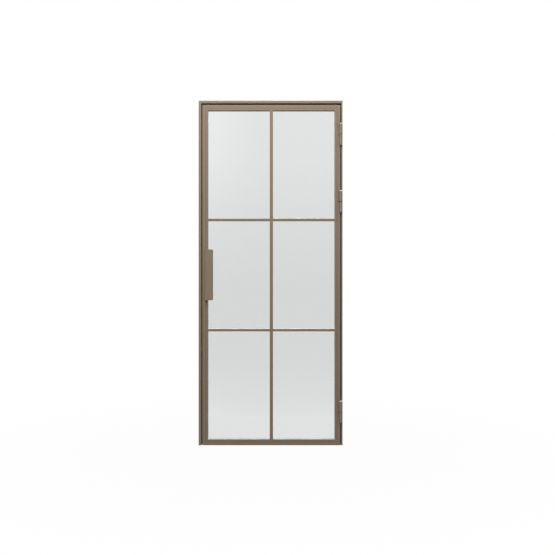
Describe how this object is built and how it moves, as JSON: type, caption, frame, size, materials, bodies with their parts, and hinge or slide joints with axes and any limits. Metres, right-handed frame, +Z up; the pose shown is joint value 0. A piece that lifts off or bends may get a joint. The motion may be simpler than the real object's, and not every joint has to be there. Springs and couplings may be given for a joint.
{
  "type": "glazed steel door with frame",
  "caption": "Hinged steel door with glass panes between slim bars, bent-plate pulls and weld-on lift-off hinges, hung in its own rebated steel frame.",
  "frame": {"origin": "on the floor, midway between the jambs' outer faces, in the leaf's middle plane", "axes": "+Z up, +X towards the hinge side, -Y towards the side with the hinges, to which the leaf opens"},
  "size_m": [0.9, 0.08, 2.155],
  "materials": {
    "coated_steel": "grey-brown satin powder coat",
    "glass": "clear, polished",
    "glazing_tape": "matt black foam",
    "seal_rubber": "matt black",
    "setting_block": "matt black",
    "magnet": "nickel plated",
    "pin_steel": "ground and oiled",
    "washer_polymer": "black bearing polymer"
  },
  "bodies": {
    "frame": {"catch_magnet": "magnet", "frame_head": "coated_steel", "frame_hinge_jamb": "coated_steel", "frame_lock_jamb": "coated_steel", "hinge_frame_knuckles": "coated_steel", "hinge_pins": "pin_steel", "hinge_washers": "washer_polymer", "seal_head": "seal_rubber", "seal_hinge": "seal_rubber", "seal_lock": "seal_rubber"},
    "leaf": {"glass_bottom_left": "glass", "glass_bottom_right": "glass", "glass_middle_left": "glass", "glass_middle_right": "glass", "glass_top_left": "glass", "glass_top_right": "glass", "glazing_beads_bottom_left": "coated_steel", "glazing_beads_bottom_right": "coated_steel", "glazing_beads_middle_left": "coated_steel", "glazing_beads_middle_right": "coated_steel", "glazing_beads_top_left": "coated_steel", "glazing_beads_top_right": "coated_steel", "glazing_tape_bottom_left": "glazing_tape", "glazing_tape_bottom_right": "glazing_tape", "glazing_tape_middle_left": "glazing_tape", "glazing_tape_middle_right": "glazing_tape", "glazing_tape_top_left": "glazing_tape", "glazing_tape_top_right": "glazing_tape", "hinge_leaf_knuckles": "coated_steel", "leaf_bottom_rail": "coated_steel", "leaf_hinge_stile": "coated_steel", "leaf_lock_stile": "coated_steel", "leaf_top_rail": "coated_steel", "mullion": "coated_steel", "pull_front": "coated_steel", "pull_rear": "coated_steel", "setting_blocks": "setting_block", "transom_lower_left": "coated_steel", "transom_lower_right": "coated_steel", "transom_upper_left": "coated_steel", "transom_upper_right": "coated_steel"}
  },
  "joints": [
    {"name": "leaf_swing", "type": "hinge", "parent": "frame", "child": "leaf", "pos_m": [0.43925, -0.03, 0], "axis": [0, 0, 1], "range_deg": [0, 170]}
  ]
}
